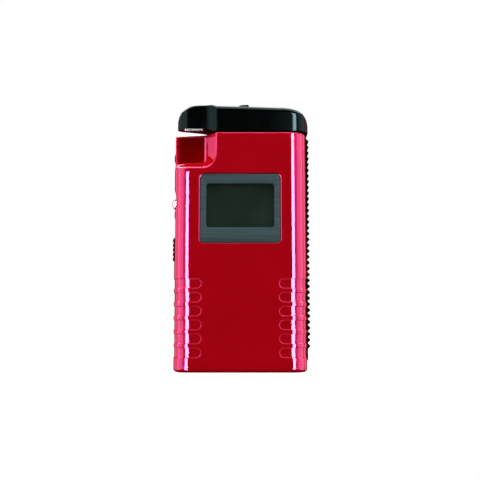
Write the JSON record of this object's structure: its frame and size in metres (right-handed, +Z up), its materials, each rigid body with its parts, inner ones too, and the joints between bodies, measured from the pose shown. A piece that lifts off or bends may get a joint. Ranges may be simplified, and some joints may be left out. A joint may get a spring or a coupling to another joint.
{
  "type": "battery tester",
  "caption": "Pocket battery tester with an upright display, a side-railed sliding arm over a scooped cell pocket, a slide switch and a sprung side contact.",
  "frame": {"origin": "middle of the bottom face that the tester stands on, under the centre of its box", "axes": "+Z up along the length, +X to the right across the front, front face with the display towards -Y"},
  "size_m": [0.0566, 0.025, 0.108],
  "materials": {
    "red_shell": "polished moulded plastic, deep red",
    "grey_plate": "satin printed plate",
    "clear_window": "clear acrylic",
    "lcd": "blank display, dark grey-green",
    "white_plastic": "moulded",
    "connector_rubber": "layered silicone rubber",
    "board": "green solder mask over fibreglass",
    "epoxy": "poured resin",
    "coil": "ferrite",
    "can": "sleeved can",
    "resistor": "coated",
    "steel": "bright zinc",
    "nickel": "bright nickel plate",
    "brass": "spring brass",
    "black_knob": "satin black",
    "black_rail": "satin black",
    "black_cap": "semi-gloss black"
  },
  "bodies": {
    "housing": {"front_shell": "red_shell", "rear_shell": "red_shell", "bezel_plate": "grey_plate", "display_window": "clear_window", "lcd_panel": "lcd", "lcd_holder": "white_plastic", "zebra_strip": "connector_rubber", "circuit_board": "board", "driver_chip": "epoxy", "boost_coil": "coil", "storage_capacitor": "can", "load_resistors": "resistor", "switch_body": "steel", "seat_contact": "nickel", "contact_track": "brass", "contact_bush": "white_plastic", "side_stud": "black_knob", "return_spring": "steel", "spring_anchor": "steel", "shell_screws": "steel", "board_screws": "steel"},
    "arm": {"slider_rail": "black_rail", "arm_conductor": "brass", "wiper": "brass", "arm_base": "black_rail", "arm_cover": "black_cap", "arm_contact": "nickel", "arm_screws": "steel", "rail_pin": "steel"},
    "range_switch": {"range_knob": "black_knob", "switch_slider": "white_plastic"},
    "side_pin": {"side_contact": "nickel", "contact_spring": "steel"}
  },
  "joints": [
    {"name": "arm_slide", "type": "slide", "parent": "housing", "child": "arm", "axis": [0, 0, 1], "range_m": [0, 0.048], "stiffness_N_per_m": 40, "springref_m": -0.02, "deforming": ["return_spring"]},
    {"name": "range_slide", "type": "slide", "parent": "housing", "child": "range_switch", "axis": [0, 0, 1], "range_m": [0, 0.006]},
    {"name": "contact_press", "type": "slide", "parent": "housing", "child": "side_pin", "axis": [1, 0, 0], "range_m": [0, 0.0007], "stiffness_N_per_m": 200, "springref_m": -0.001}
  ]
}
